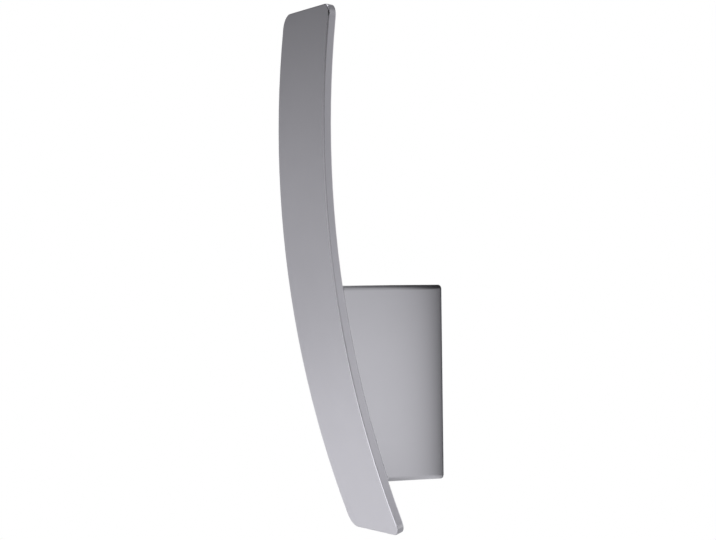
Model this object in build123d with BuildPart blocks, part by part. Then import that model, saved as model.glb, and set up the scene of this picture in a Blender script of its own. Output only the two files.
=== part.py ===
from build123d import *
import math
import os

# LED wall light: a bowed aluminium plate in front of a small cast housing.
# The origin lies on the wall at the middle of the bracket's cable hole.
# X runs across the light, -Y points out from the wall and Z points up.

# Front plate
plate_height = 380.0  # between its two ends
plate_width = 82.0
plate_thickness = 6.0
plate_corner_radius = 10.0
plate_edge_radius = 1.0  # front edges
plate_rear_edge_radius = 0.7
plate_rise = 270.4  # top end above the middle of the housing
bow_radius = 753.5  # front face
bow_projection = 93.0  # wall to the foremost point of the bow
bow_apex_height = 175.6  # foremost point above the middle of the housing

# Housing
housing_height = 140.0
housing_reveal = 1.0  # the plate stands past the housing by this on each side
housing_wall = 3.0
housing_edge_radius = 3.5  # long edges that run out from the wall
housing_rim_radius = 1.6  # rear rim
housing_front_radius = 1.2  # edge that meets the plate
rim_gap = 0.3  # rear rim to wall
lug_reach = 6.5
lug_width = 10.0
lug_height = 9.0
tray_lug_length = 10.0
seat_radius = 6.0
seat_height = 2.0
pad_width = 17.0
pad_length = 16.0
pad_height = 2.4

# Fits
thread_clearance = 0.05
hole_clearance = 0.3
slide_clearance = 0.1
drop_in_clearance = 0.5

# Wall bracket
bracket_thickness = 1.5
bracket_bend_radius = 1.0
bracket_flange = 13.5
bracket_corner_radius = 4.0
bracket_side_gap = 1.0
emboss_radius = 16.0
emboss_height = 2.5
fixing_spacing = 90.0
fixing_slot_length = 12.0
fixing_slot_width = 4.5
cable_hole_radius = 7.0
cable_bore_radius = 4.0
grommet_lip = 2.5
grommet_lip_thickness = 1.8

# Locking screws under the housing
lock_screw_radius = 1.95
lock_head_radius = 3.9
lock_head_height = 2.3
lock_head_recess = 0.55
lock_spacing = 40.0
lock_from_wall = 8.0
clinch_nut_radius = 4.0
clinch_nut_height = 3.5
lock_screw_tail = 0.5

# Screws and washers of the front plate
plate_screw_radius = 1.95
plate_screw_head_radius = 3.8
plate_screw_head_height = 2.6
plate_screw_skin = 1.7  # metal left in front of each blind hole
plate_screw_spacing = 44.0
plate_screw_rise = 22.0  # lower pair above the housing's floor
plate_screw_drop = 10.5  # upper pair below the heat sink's fins
washer_radius = 4.6
washer_thickness = 1.0

# Lens, gasket and reflector
lens_front_margin = 7.0
lens_rear_margin = 9.5
lens_side_margin = 11.0
lens_corner_radius = 4.0
lens_flange_width = 3.0
lens_flange_thickness = 2.5
lens_recess = 0.3  # lens face below the housing's top
lens_edge_radius = 0.6
gasket_thickness = 1.0
reflector_height = 15.0
reflector_wall = 1.2
reflector_inset = 1.0
reflector_taper_x = 4.0
reflector_taper_y = 9.0
reflector_rim = 2.0
reflector_rim_margin = 1.0
boss_radius = 3.0
boss_inset = 3.6
boss_from_lens_end = 6.0

# LED board and heat sink
board_thickness = 1.6
board_tail = 2.0  # reach of the board behind the lens opening, for its connector
board_front_margin = 1.0
board_lug_gap = 1.5
board_screw_inset_x = 7.0
board_screw_inset_y = 4.5
pad_thickness = 0.4
sink_base = 4.0
sink_tail = 3.0
fin_height = 10.0
fin_thickness = 1.6
fin_pitch = 6.4
fin_count = 9
chip_width = 3.5
chip_depth = 2.8
chip_height = 0.8
chip_columns = 6
chip_rows = 2
chip_pitch_y = 11.0
chip_side_gap = 1.75  # outer chips to the reflector's side walls
connector_width = 12.0
connector_depth = 5.0
connector_height = 4.0
connector_wall = 1.0
connector_setback = 0.5

# Small screws of 3 mm
small_screw_radius = 1.45
small_head_radius = 2.6
small_head_height = 2.2
small_screw_length = 8.0
board_screw_length = 5.0
rim_screw_length = 6.5

# Gear tray
tray_thickness = 1.2
tray_fold = 8.0
tray_bend_radius = 1.0
tray_top_gap = 3.0
tray_bottom_gap = 5.5
tray_side_gap = 0.5
tray_upper_lug_drop = 8.0
tray_lower_lug_rise = 21.5
tray_notch_width = 15.0
tray_notch_depth = 11.0

# LED driver
driver_side_gap = 2.0  # ears to the housing's side walls
driver_terminal_gap = 3.0  # above the terminal block
driver_depth = 22.0
driver_wall = 1.6
driver_lid_thickness = 1.8
driver_clearance = 5.0  # lid to the housing's front wall, at the driver's lower edge
driver_top_gap = 19.5
driver_ear = 8.0
driver_ear_height = 12.0
driver_ear_thickness = 2.5
driver_edge_radius = 1.5
post_height = 3.0
post_radius = 2.0
driver_terminal_height = 7.0
driver_terminal_depth = 8.0
driver_terminal_end = 3.5  # body beyond the outer leads
driver_screw_tail = 1.0
post_inset = 7.0
transformer_width = 16.0
transformer_gap = 3.0  # to the terminals above and below
transformer_depth = 11.0
transformer_chamfer = 1.0
capacitor_radius = 3.5
capacitor_length = 11.0
capacitor_spacing = 9.0
capacitor_edge_radius = 0.6

# Terminal block
terminal_pitch = 9.0
terminal_poles = 3
terminal_height = 18.0
terminal_depth = 14.0
terminal_end_wall = 1.5
terminal_groove_width = 1.2  # between poles
terminal_groove_depth = 3.0
terminal_edge_radius = 0.6
terminal_bottom_gap = 10.5
terminal_wire_depth = 7.5  # wire axis from the block's wall side
clamp_radius = 2.55
clamp_length = 16.0
clamp_screw_radius = 1.25
clamp_screw_head_radius = 1.7
clamp_screw_head_height = 2.4
clamp_screw_spacing = 9.0
clamp_screw_sink = 1.5
block_screw_radius = 1.15
block_screw_head_radius = 1.9
block_screw_head_height = 1.6
block_screw_sink = 4.0
block_screw_tail = 1.5

# Leads
mains_lead_radius = 1.2
led_lead_radius = 0.8
lead_grip = 5.0  # length of a lead inside a terminal
mains_loop_rise = 5.5  # lead axis above the tray's lower edge
mains_bend_upper = 4.5
mains_bend_lower = 6.0
led_lead_spacing = 6.0
led_lead_drop = 5.0
led_lead_offset = 7.0
led_bend_wide = 9.0
led_bend_tight = 5.0
lead_grommet_lip = 1.0
lead_grommet_lip_thickness = 1.0
lead_grommet_body_radius = 2.5

# Earth point
earth_ring_radius = 3.6
earth_ring_thickness = 0.8
earth_washer_thickness = 0.6
earth_edge_gap = 7.0  # ring's middle to the tray's side
earth_barrel_radius = 1.8
earth_barrel_reach = 8.5  # ring's middle to the far end of its barrel
earth_barrel_length = 4.5
earth_lead_tail = 2.0  # straight lead before the barrel
earth_bend_first = 4.2
earth_bend_second = 6.0
earth_screw_length = 6.0

# Bow geometry
bow_centre_y = bow_radius - bow_projection
plate_back_radius = bow_radius - plate_thickness
wall_inner_radius = plate_back_radius - housing_wall
plate_bottom = plate_rise - plate_height


def bow_angle(radius, height):
    return 180 - math.degrees(math.asin((height - bow_apex_height) / radius))


def bow_y(radius, height):
    return bow_centre_y - math.sqrt(radius**2 - (height - bow_apex_height) ** 2)


def bow_arc(radius, low, high):
    start = bow_angle(radius, high)
    sweep = bow_angle(radius, low) - start
    return CenterArc((bow_centre_y, bow_apex_height), radius, start, sweep)


def bow_seat(x, height):
    """Plane on the back of the front plate that faces the wall squarely."""
    angle = math.asin((height - bow_apex_height) / plate_back_radius)
    return Plane(
        origin=(x, bow_y(plate_back_radius, height), height),
        x_dir=(1, 0, 0),
        z_dir=(0, math.cos(angle), -math.sin(angle)),
    )


# Housing levels
housing_width = plate_width - 2 * housing_reveal
top_outer = housing_height / 2
top_inner = top_outer - housing_wall
bottom_outer = -housing_height / 2
bottom_inner = bottom_outer + housing_wall
inner_half = housing_width / 2 - housing_wall
pad_top = bottom_inner + pad_height
lug_x = inner_half - lug_reach / 2

# Lens and reflector levels
lens_front = bow_y(wall_inner_radius, top_inner) + lens_front_margin
lens_rear = -(bracket_flange + lens_rear_margin)
lens_depth = lens_rear - lens_front
lens_y = (lens_front + lens_rear) / 2
lens_width = 2 * (inner_half - lens_side_margin)
lens_flange_top = top_inner - gasket_thickness
reflector_top = lens_flange_top - lens_flange_thickness
board_top = reflector_top - reflector_height
board_bottom = board_top - board_thickness
sink_top = board_bottom - pad_thickness
sink_bottom = sink_top - sink_base
fin_bottom = sink_bottom - fin_height
boss_x = inner_half - boss_inset
boss_points = [
    (side * boss_x, y)
    for side in (-1, 1)
    for y in (lens_front + boss_from_lens_end, lens_rear - boss_from_lens_end)
]

# LED board and heat sink outlines
board_width = 2 * (inner_half - lug_reach - board_lug_gap)
board_front = lens_front + board_front_margin
board_rear = lens_rear + board_tail
board_depth = board_rear - board_front
board_y = (board_front + board_rear) / 2
sink_width = 2 * (inner_half - drop_in_clearance)
sink_rear = lens_rear + sink_tail
sink_depth = sink_rear - board_front
sink_y = (sink_rear + board_front) / 2
board_screw_x = board_width / 2 - board_screw_inset_x
board_screw_y = lens_depth / 2 - board_screw_inset_y
board_screw_points = [
    (i * board_screw_x, lens_y + j * board_screw_y) for i in (-1, 1) for j in (-1, 1)
]
sink_screw_points = [(-lug_x, lens_y), (lug_x, lens_y)]
connector_y = board_rear - connector_setback - connector_depth / 2

# Tray, driver and terminal levels
tray_top = fin_bottom - tray_top_gap
tray_bottom = bottom_inner + tray_bottom_gap
tray_height = tray_top - tray_bottom
tray_mid = (tray_top + tray_bottom) / 2
tray_width = 2 * (inner_half - tray_side_gap)
terminal_bottom = tray_bottom + terminal_bottom_gap
terminal_top = terminal_bottom + terminal_height
terminal_mid = (terminal_top + terminal_bottom) / 2
driver_top = tray_top - driver_top_gap
driver_bottom = terminal_top + driver_terminal_gap
driver_height = driver_top - driver_bottom
driver_mid = (driver_top + driver_bottom) / 2
driver_width = 2 * (inner_half - driver_side_gap - driver_ear)
transformer_height = driver_height - 2 * (driver_terminal_height + transformer_gap)
driver_front = bow_y(wall_inner_radius, driver_bottom) + driver_clearance
tray_front = driver_front + driver_depth
tray_rear = tray_front + tray_thickness
tray_screw_points = [
    (side * lug_x, height)
    for side in (-1, 1)
    for height in (tray_top - tray_upper_lug_drop, tray_bottom + tray_lower_lug_rise)
]
driver_screw_x = driver_width / 2 + driver_ear / 2
driver_floor = tray_front - driver_wall
driver_board_rear = driver_floor - post_height
driver_board_front = driver_board_rear - board_thickness
driver_lid_rear = driver_front + driver_lid_thickness
driver_lead_y = driver_board_front - driver_terminal_depth / 2
terminal_width = terminal_poles * terminal_pitch + 2 * terminal_end_wall
terminal_rear = tray_rear + terminal_depth
wire_y = terminal_rear - terminal_wire_depth
pole_x = [(i - (terminal_poles - 1) / 2) * terminal_pitch for i in range(terminal_poles)]
live_x, neutral_x, earth_pole_x = pole_x
mains_loop_z = tray_bottom + mains_loop_rise
input_terminal_x = (live_x + neutral_x) / 2
input_terminal_width = terminal_pitch + 2 * driver_terminal_end
output_terminal_width = led_lead_spacing + 2 * driver_terminal_end
earth_x = tray_width / 2 - earth_edge_gap
earth_barrel_start = earth_x - earth_barrel_reach
earth_turn_x = earth_barrel_start - earth_lead_tail
block_screw_points = [(-terminal_pitch / 2, terminal_mid), (terminal_pitch / 2, terminal_mid)]
clamp_screw_points = [
    (x, terminal_mid + side * clamp_screw_spacing / 2) for x in pole_x for side in (-1, 1)
]

# Bracket levels
bracket_half = inner_half - bracket_side_gap
bracket_top = top_inner - slide_clearance
bracket_bottom = pad_top + slide_clearance
lock_points = [(-lock_spacing / 2, -lock_from_wall), (lock_spacing / 2, -lock_from_wall)]
lock_head_bottom = bottom_outer + lock_head_recess
lock_step = lock_head_bottom + lock_head_height + thread_clearance
plate_screw_low = bottom_inner + plate_screw_rise
plate_screw_high = fin_bottom - plate_screw_drop
plate_screw_points = [
    (side * plate_screw_spacing / 2, height)
    for side in (-1, 1)
    for height in (plate_screw_low, plate_screw_high)
]
fixing_heights = [-fixing_spacing / 2, fixing_spacing / 2]

os.makedirs("parts", exist_ok=True)


def save(part, name):
    part.label = name
    export_step(part, f"parts/{name}.step")


def pan_screw(place, head_radius, head_height, shank_radius, shank_length):
    """Screw with its head's seat on the plane and its shank along the plane's normal."""
    with BuildSketch(place) as head:
        Circle(head_radius)
    extrude(head.sketch, amount=-head_height)
    with BuildSketch(place) as shank:
        Circle(shank_radius)
    extrude(shank.sketch, amount=shank_length)


def upward(x, y, z):
    return Plane(origin=(x, y, z), x_dir=(1, 0, 0), z_dir=(0, 0, 1))


def frontward(x, z, y):
    return Plane(origin=(x, y, z), x_dir=(1, 0, 0), z_dir=(0, -1, 0))


def lead(points, bends, radius):
    """Round insulated wire along straight runs joined by arcs."""
    with BuildLine() as route:
        FilletPolyline(*points, radius=bends)
    start = Plane(origin=route.line @ 0, z_dir=route.line % 0)
    with BuildSketch(start) as section:
        Circle(radius)
    sweep(section.sketch, path=route.line)
    length = sum(edge.length for edge in route.edges())
    print("lead length", round(length, 1), "bend radii", bends)


# Front plate: an arc-shaped section drawn out across the width, corners and edges rounded
with BuildPart() as front_plate:
    with BuildSketch(Plane.YZ):
        with BuildLine():
            front_arc = bow_arc(bow_radius, plate_bottom, plate_rise)
            back_arc = CenterArc(
                (bow_centre_y, bow_apex_height),
                plate_back_radius,
                bow_angle(bow_radius, plate_rise),
                bow_angle(bow_radius, plate_bottom) - bow_angle(bow_radius, plate_rise),
            )
            Line(front_arc @ 0, back_arc @ 0)
            Line(front_arc @ 1, back_arc @ 1)
        make_face()
    extrude(amount=plate_width / 2, both=True)
    straight_edges = front_plate.edges().filter_by(GeomType.LINE)
    fillet(straight_edges.filter_by(Axis.X, reverse=True), plate_corner_radius)
    for side, radius in ((0, plate_edge_radius), (-1, plate_rear_edge_radius)):
        bowed_faces = front_plate.faces().filter_by(GeomType.CYLINDER).sort_by(SortBy.AREA)[-2:]
        fillet(bowed_faces.sort_by(Axis.Y)[side].edges(), radius)
    for x, height in plate_screw_points:
        with BuildSketch(bow_seat(x, height).offset(drop_in_clearance)):
            Circle(plate_screw_radius + thread_clearance)
        extrude(
            amount=-(plate_thickness - plate_screw_skin + drop_in_clearance), mode=Mode.SUBTRACT
        )
save(front_plate.part, "front_plate")

# Housing: cast box, open to the wall, with its front wall curved to the plate
with BuildPart() as housing:
    with BuildSketch(Plane.YZ):
        with BuildLine():
            skin = bow_arc(plate_back_radius, bottom_outer, top_outer)
            Polyline(skin @ 0, (-rim_gap, top_outer), (-rim_gap, bottom_outer), skin @ 1)
        make_face()
    extrude(amount=housing_width / 2, both=True)
    fillet(housing.edges().filter_by(Axis.Y), housing_edge_radius)
    fillet(housing.faces().sort_by(Axis.Y)[-1].edges(), housing_rim_radius)
    front_face = housing.faces().filter_by(GeomType.CYLINDER).sort_by(SortBy.AREA)[-1]
    fillet(front_face.edges(), housing_front_radius)
    with BuildSketch(Plane.YZ):
        with BuildLine():
            lining = bow_arc(wall_inner_radius, bottom_inner, top_inner)
            Polyline(lining @ 0, (0, top_inner), (0, bottom_inner), lining @ 1)
        make_face()
    extrude(amount=inner_half, both=True, mode=Mode.SUBTRACT)
    # Pads that carry the lower flange of the bracket
    with BuildSketch(Plane.XY.offset(bottom_inner)):
        for x, y in lock_points:
            with Locations((x, -rim_gap - pad_length / 2)):
                Rectangle(pad_width, pad_length)
    extrude(amount=pad_height)
    # Lugs on the side walls for the heat sink and the tray
    with BuildSketch(Plane.XY.offset(sink_top)):
        with Locations(*sink_screw_points):
            Rectangle(lug_reach, lug_width)
    extrude(amount=lug_height)
    with BuildSketch(Plane.XZ.offset(-tray_front)):
        with Locations(*tray_screw_points):
            Rectangle(lug_reach, lug_height)
    extrude(amount=tray_lug_length)
    # Bosses for the reflector screws
    with BuildSketch(Plane.XY.offset(top_inner)):
        with Locations(*boss_points):
            Circle(boss_radius)
    extrude(amount=reflector_top - top_inner)
    # Flat seats for the plate screws, square to the bow
    for x, height in plate_screw_points:
        with BuildSketch(bow_seat(x, height).offset(housing_wall / 2)):
            Circle(seat_radius)
        extrude(amount=housing_wall / 2 + seat_height)
    # Lens opening
    with BuildSketch(Plane.XY.offset(top_inner)):
        with Locations((0, lens_y)):
            RectangleRounded(
                lens_width + 2 * hole_clearance,
                lens_depth + 2 * hole_clearance,
                lens_corner_radius + hole_clearance,
            )
    extrude(amount=housing_wall, mode=Mode.SUBTRACT)
    # Keyways for the locking screws: narrow for the shank, wide for the head, open to the wall
    for half_width, low, high in (
        (lock_screw_radius + hole_clearance, bottom_outer, pad_top),
        (lock_head_radius + hole_clearance, bottom_outer, lock_step),
    ):
        with BuildSketch(Plane.XY.offset(low)):
            for x, y in lock_points:
                with Locations((x, y)):
                    Circle(half_width)
                with Locations((x, y / 2)):
                    Rectangle(2 * half_width, lock_from_wall)
        extrude(amount=high - low, mode=Mode.SUBTRACT)
    # Screw holes
    for x, height in plate_screw_points:
        with BuildSketch(bow_seat(x, height)):
            Circle(plate_screw_radius + hole_clearance)
        extrude(amount=housing_wall + seat_height, mode=Mode.SUBTRACT)
    with BuildSketch(Plane.XY.offset(sink_top)):
        with Locations(*sink_screw_points):
            Circle(small_screw_radius + thread_clearance)
    extrude(amount=small_screw_length - sink_base + drop_in_clearance, mode=Mode.SUBTRACT)
    with BuildSketch(Plane.XZ.offset(-tray_front)):
        with Locations(*tray_screw_points):
            Circle(small_screw_radius + thread_clearance)
    extrude(amount=small_screw_length - tray_thickness + drop_in_clearance, mode=Mode.SUBTRACT)
    with BuildSketch(Plane.XY.offset(reflector_top)):
        with Locations(*boss_points):
            Circle(small_screw_radius + thread_clearance)
    extrude(amount=rim_screw_length - reflector_rim + drop_in_clearance, mode=Mode.SUBTRACT)
save(housing.part, "housing")

# Washers and screws that hold the plate from inside the housing
with BuildPart() as plate_washers:
    for x, height in plate_screw_points:
        with BuildSketch(bow_seat(x, height).offset(housing_wall + seat_height)):
            Circle(washer_radius)
            Circle(plate_screw_radius + hole_clearance, mode=Mode.SUBTRACT)
        extrude(amount=washer_thickness)
save(plate_washers.part, "plate_washers")

plate_screw_stack = housing_wall + seat_height + washer_thickness
plate_screw_bite = plate_thickness - plate_screw_skin - hole_clearance
with BuildPart() as plate_screws:
    for x, height in plate_screw_points:
        seat = bow_seat(x, height).offset(plate_screw_stack)
        pan_screw(
            Plane(origin=seat.origin, x_dir=seat.x_dir, z_dir=-seat.z_dir),
            plate_screw_head_radius,
            plate_screw_head_height,
            plate_screw_radius,
            plate_screw_stack + plate_screw_bite,
        )
save(plate_screws.part, "plate_screws")

# Lens: frosted block with a flange that is held under the top wall
with BuildPart() as lens:
    with BuildSketch(Plane.XY.offset(reflector_top)):
        with Locations((0, lens_y)):
            RectangleRounded(
                lens_width + 2 * lens_flange_width,
                lens_depth + 2 * lens_flange_width,
                lens_corner_radius + lens_flange_width,
            )
    extrude(amount=lens_flange_thickness)
    with BuildSketch(Plane.XY.offset(lens_flange_top)):
        with Locations((0, lens_y)):
            RectangleRounded(lens_width, lens_depth, lens_corner_radius)
    extrude(amount=gasket_thickness + housing_wall - lens_recess)
    fillet(lens.faces().sort_by(Axis.Z)[-1].edges(), lens_edge_radius)
save(lens.part, "lens")

with BuildPart() as lens_gasket:
    with BuildSketch(Plane.XY.offset(lens_flange_top)):
        with Locations((0, lens_y)):
            RectangleRounded(
                lens_width + 2 * lens_flange_width,
                lens_depth + 2 * lens_flange_width,
                lens_corner_radius + lens_flange_width,
            )
            RectangleRounded(
                lens_width + 2 * hole_clearance,
                lens_depth + 2 * hole_clearance,
                lens_corner_radius + hole_clearance,
                mode=Mode.SUBTRACT,
            )
    extrude(amount=gasket_thickness)
save(lens_gasket.part, "lens_gasket")

# Reflector: a tapered funnel under a flat rim
mouth_width = lens_width - 2 * reflector_inset
mouth_depth = lens_depth - 2 * reflector_inset
throat_width = mouth_width - 2 * reflector_taper_x
throat_depth = mouth_depth - 2 * reflector_taper_y
rim_width = 2 * (inner_half - drop_in_clearance)
rim_depth = lens_depth + 2 * (lens_flange_width + reflector_rim_margin)
chip_pitch_x = (throat_width - 2 * chip_side_gap - chip_width) / (chip_columns - 1)
with BuildPart() as reflector:
    with BuildSketch(Plane.XY.offset(board_top)):
        with Locations((0, lens_y)):
            Rectangle(throat_width + 2 * reflector_wall, throat_depth + 2 * reflector_wall)
    with BuildSketch(Plane.XY.offset(reflector_top)):
        with Locations((0, lens_y)):
            Rectangle(mouth_width + 2 * reflector_wall, mouth_depth + 2 * reflector_wall)
    loft()
    with BuildSketch(Plane.XY.offset(reflector_top - reflector_rim)):
        with Locations((0, lens_y)):
            RectangleRounded(rim_width, rim_depth, lens_corner_radius)
        with Locations(*boss_points):
            Circle(small_screw_radius + hole_clearance, mode=Mode.SUBTRACT)
    extrude(amount=reflector_rim)
    with BuildSketch(Plane.XY.offset(board_top)):
        with Locations((0, lens_y)):
            Rectangle(throat_width, throat_depth)
    with BuildSketch(Plane.XY.offset(reflector_top)):
        with Locations((0, lens_y)):
            Rectangle(mouth_width, mouth_depth)
    loft(mode=Mode.SUBTRACT)
save(reflector.part, "reflector")

with BuildPart() as reflector_screws:
    for x, y in boss_points:
        pan_screw(
            upward(x, y, reflector_top - reflector_rim),
            small_head_radius,
            small_head_height,
            small_screw_radius,
            rim_screw_length,
        )
save(reflector_screws.part, "reflector_screws")

# Heat sink: flat base with fins that hang below it
with BuildPart() as heat_sink:
    with BuildSketch(Plane.XY.offset(sink_bottom)):
        with Locations((0, sink_y)):
            Rectangle(sink_width, sink_depth)
        with Locations(*sink_screw_points):
            Circle(small_screw_radius + hole_clearance, mode=Mode.SUBTRACT)
    extrude(amount=sink_base)
    with BuildSketch(Plane.XY.offset(sink_bottom)):
        with Locations((0, sink_y)):
            with GridLocations(fin_pitch, 0, fin_count, 1):
                Rectangle(fin_thickness, sink_depth)
    extrude(amount=-fin_height)
    with BuildSketch(Plane.XY.offset(sink_top)):
        with Locations(*board_screw_points):
            Circle(small_screw_radius + thread_clearance)
    extrude(
        amount=-(board_screw_length - board_thickness - pad_thickness + drop_in_clearance),
        mode=Mode.SUBTRACT,
    )
save(heat_sink.part, "heat_sink")

with BuildPart() as heat_sink_screws:
    for x, y in sink_screw_points:
        pan_screw(
            upward(x, y, sink_bottom),
            small_head_radius,
            small_head_height,
            small_screw_radius,
            small_screw_length,
        )
save(heat_sink_screws.part, "heat_sink_screws")

# Thermal pad and LED board share one outline and one set of screw holes
for name, level, thickness in (
    ("thermal_pad", sink_top, pad_thickness),
    ("led_board", board_bottom, board_thickness),
):
    with BuildPart() as sheet:
        with BuildSketch(Plane.XY.offset(level)):
            with Locations((0, board_y)):
                Rectangle(board_width, board_depth)
            with Locations(*board_screw_points):
                Circle(small_screw_radius + hole_clearance, mode=Mode.SUBTRACT)
        extrude(amount=thickness)
    save(sheet.part, name)

with BuildPart() as led_board_screws:
    for x, y in board_screw_points:
        place = upward(x, y, board_top)
        pan_screw(
            Plane(origin=place.origin, x_dir=place.x_dir, z_dir=-place.z_dir),
            small_head_radius,
            small_head_height,
            small_screw_radius,
            board_screw_length,
        )
save(led_board_screws.part, "led_board_screws")

with BuildPart() as led_chips:
    with BuildSketch(Plane.XY.offset(board_top)):
        with Locations((0, lens_y)):
            with GridLocations(chip_pitch_x, chip_pitch_y, chip_columns, chip_rows):
                Rectangle(chip_width, chip_depth)
    extrude(amount=chip_height)
save(led_chips.part, "led_chips")

led_lead_x = [-led_lead_spacing / 2, led_lead_spacing / 2]
led_lead_z = board_top + connector_height / 2
with BuildPart() as led_connector:
    with BuildSketch(Plane.XY.offset(board_top)):
        with Locations((0, connector_y)):
            Rectangle(connector_width, connector_depth)
    extrude(amount=connector_height)
    with BuildSketch(Plane.XZ.offset(-(connector_y + connector_depth / 2))):
        with Locations(*[(x, led_lead_z) for x in led_lead_x]):
            Circle(led_lead_radius + thread_clearance)
    extrude(amount=connector_depth - connector_wall, mode=Mode.SUBTRACT)
save(led_connector.part, "led_connector")

# Gear tray: folded steel sheet with a notch for the LED leads
with BuildPart() as gear_tray:
    with BuildSketch(Plane.XZ.offset(-tray_rear)):
        with Locations((0, tray_mid)):
            Rectangle(tray_width, tray_height)
    extrude(amount=tray_thickness)
    for low in (tray_bottom, tray_top - tray_thickness):
        with BuildSketch(Plane.XY.offset(low)):
            with Locations((0, tray_rear - tray_fold / 2)):
                Rectangle(tray_width, tray_fold)
        extrude(amount=tray_thickness)
    inner_bends = gear_tray.edges().filter_by(Axis.X).group_by(Axis.Y)[-2]
    fillet(inner_bends, tray_bend_radius)
    outer_bends = gear_tray.edges().filter_by(Axis.X).group_by(Axis.Y)[-1]
    fillet(outer_bends, tray_bend_radius + tray_thickness)
    with BuildSketch(Plane.XZ.offset(-tray_rear)):
        with Locations((0, tray_top - tray_notch_depth / 2)):
            Rectangle(tray_notch_width, tray_notch_depth)
    extrude(amount=tray_fold, mode=Mode.SUBTRACT)
    with BuildSketch(Plane.XZ.offset(-tray_rear)):
        with Locations(*tray_screw_points):
            Circle(small_screw_radius + hole_clearance)
        with Locations((-driver_screw_x, driver_mid), (driver_screw_x, driver_mid)):
            Circle(small_screw_radius + thread_clearance)
        with Locations((earth_x, mains_loop_z)):
            Circle(small_screw_radius + thread_clearance)
        with Locations(*block_screw_points):
            Circle(block_screw_radius + thread_clearance)
        with Locations((live_x, mains_loop_z), (neutral_x, mains_loop_z)):
            Circle(lead_grommet_body_radius + thread_clearance)
    extrude(amount=tray_thickness, mode=Mode.SUBTRACT)
save(gear_tray.part, "gear_tray")

with BuildPart() as gear_tray_screws:
    for x, z in tray_screw_points:
        pan_screw(
            frontward(x, z, tray_rear),
            small_head_radius,
            small_head_height,
            small_screw_radius,
            small_screw_length,
        )
save(gear_tray_screws.part, "gear_tray_screws")

with BuildPart() as lead_grommets:
    for x in (live_x, neutral_x):
        with BuildSketch(frontward(x, mains_loop_z, tray_rear + lead_grommet_lip_thickness)):
            Circle(lead_grommet_body_radius)
        extrude(amount=tray_thickness + 2 * lead_grommet_lip_thickness)
        for y in (tray_rear + lead_grommet_lip_thickness, tray_front):
            with BuildSketch(frontward(x, mains_loop_z, y)):
                Circle(lead_grommet_body_radius + lead_grommet_lip)
            extrude(amount=lead_grommet_lip_thickness)
        with BuildSketch(frontward(x, mains_loop_z, tray_rear + lead_grommet_lip_thickness)):
            Circle(mains_lead_radius + thread_clearance)
        extrude(amount=tray_thickness + 2 * lead_grommet_lip_thickness, mode=Mode.SUBTRACT)
save(lead_grommets.part, "lead_grommets")

# Driver: moulded case on the front of the tray, with ears, posts and end windows
with BuildPart() as driver_case:
    with BuildSketch(Plane.XZ.offset(-tray_front)):
        with Locations((0, driver_mid)):
            RectangleRounded(driver_width, driver_height, driver_edge_radius)
    extrude(amount=driver_depth - driver_lid_thickness)
    with BuildSketch(Plane.XZ.offset(-driver_floor)):
        with Locations((0, driver_mid)):
            Rectangle(driver_width - 2 * driver_wall, driver_height - 2 * driver_wall)
    extrude(amount=driver_depth, mode=Mode.SUBTRACT)
    with BuildSketch(Plane.XZ.offset(-driver_floor)):
        with Locations((0, driver_mid)):
            with GridLocations(driver_width - 2 * post_inset, driver_height - 2 * post_inset, 2, 2):
                Circle(post_radius)
    extrude(amount=post_height)
    with BuildSketch(Plane.XZ.offset(-tray_front)):
        for side in (-1, 1):
            with Locations((side * driver_screw_x, driver_mid)):
                Rectangle(driver_ear, driver_ear_height)
                Circle(small_screw_radius + hole_clearance, mode=Mode.SUBTRACT)
    extrude(amount=driver_ear_thickness)
    for x, width, level, direction in (
        (input_terminal_x, input_terminal_width, driver_bottom, 1),
        (0.0, output_terminal_width, driver_top, -1),
    ):
        with BuildSketch(Plane.XY.offset(level)):
            with Locations((x, driver_lead_y)):
                Rectangle(width + 2 * hole_clearance, driver_terminal_depth + 2 * hole_clearance)
        extrude(amount=direction * driver_wall, mode=Mode.SUBTRACT)
save(driver_case.part, "driver_case")

with BuildPart() as driver_lid:
    with BuildSketch(Plane.XZ.offset(-driver_lid_rear)):
        with Locations((0, driver_mid)):
            RectangleRounded(driver_width, driver_height, driver_edge_radius)
    extrude(amount=driver_lid_thickness)
    fillet(driver_lid.faces().sort_by(Axis.Y)[0].edges(), driver_lid_thickness / 2)
    with BuildSketch(Plane.XZ.offset(-driver_lid_rear)):
        with Locations((0, driver_mid)):
            lip_width = driver_width - 2 * driver_wall - 2 * hole_clearance
            lip_height = driver_height - 2 * driver_wall - 2 * hole_clearance
            Rectangle(lip_width, lip_height)
            Rectangle(
                lip_width - 2 * driver_wall, lip_height - 2 * driver_wall, mode=Mode.SUBTRACT
            )
    extrude(amount=-driver_lid_thickness)
save(driver_lid.part, "driver_lid")

with BuildPart() as driver_board:
    with BuildSketch(Plane.XZ.offset(-driver_board_rear)):
        with Locations((0, driver_mid)):
            Rectangle(
                driver_width - 2 * driver_wall - 2 * drop_in_clearance,
                driver_height - 2 * driver_wall - 2 * drop_in_clearance,
            )
    extrude(amount=board_thickness)
save(driver_board.part, "driver_board")

# Parts on the driver board
with BuildPart() as driver_transformer:
    with BuildSketch(Plane.XZ.offset(-driver_board_front)):
        with Locations((-driver_width / 4, driver_mid)):
            Rectangle(transformer_width, transformer_height)
    extrude(amount=transformer_depth)
    chamfer(driver_transformer.edges().filter_by(Axis.Y), transformer_chamfer)
save(driver_transformer.part, "driver_transformer")

with BuildPart() as driver_capacitors:
    with BuildSketch(Plane.XZ.offset(-driver_board_front)):
        with Locations((driver_width / 4, driver_mid)):
            with GridLocations(capacitor_spacing, 0, 2, 1):
                Circle(capacitor_radius)
    extrude(amount=capacitor_length)
    fillet(driver_capacitors.faces().group_by(Axis.Y)[0].edges(), capacitor_edge_radius)
save(driver_capacitors.part, "driver_capacitors")

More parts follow.
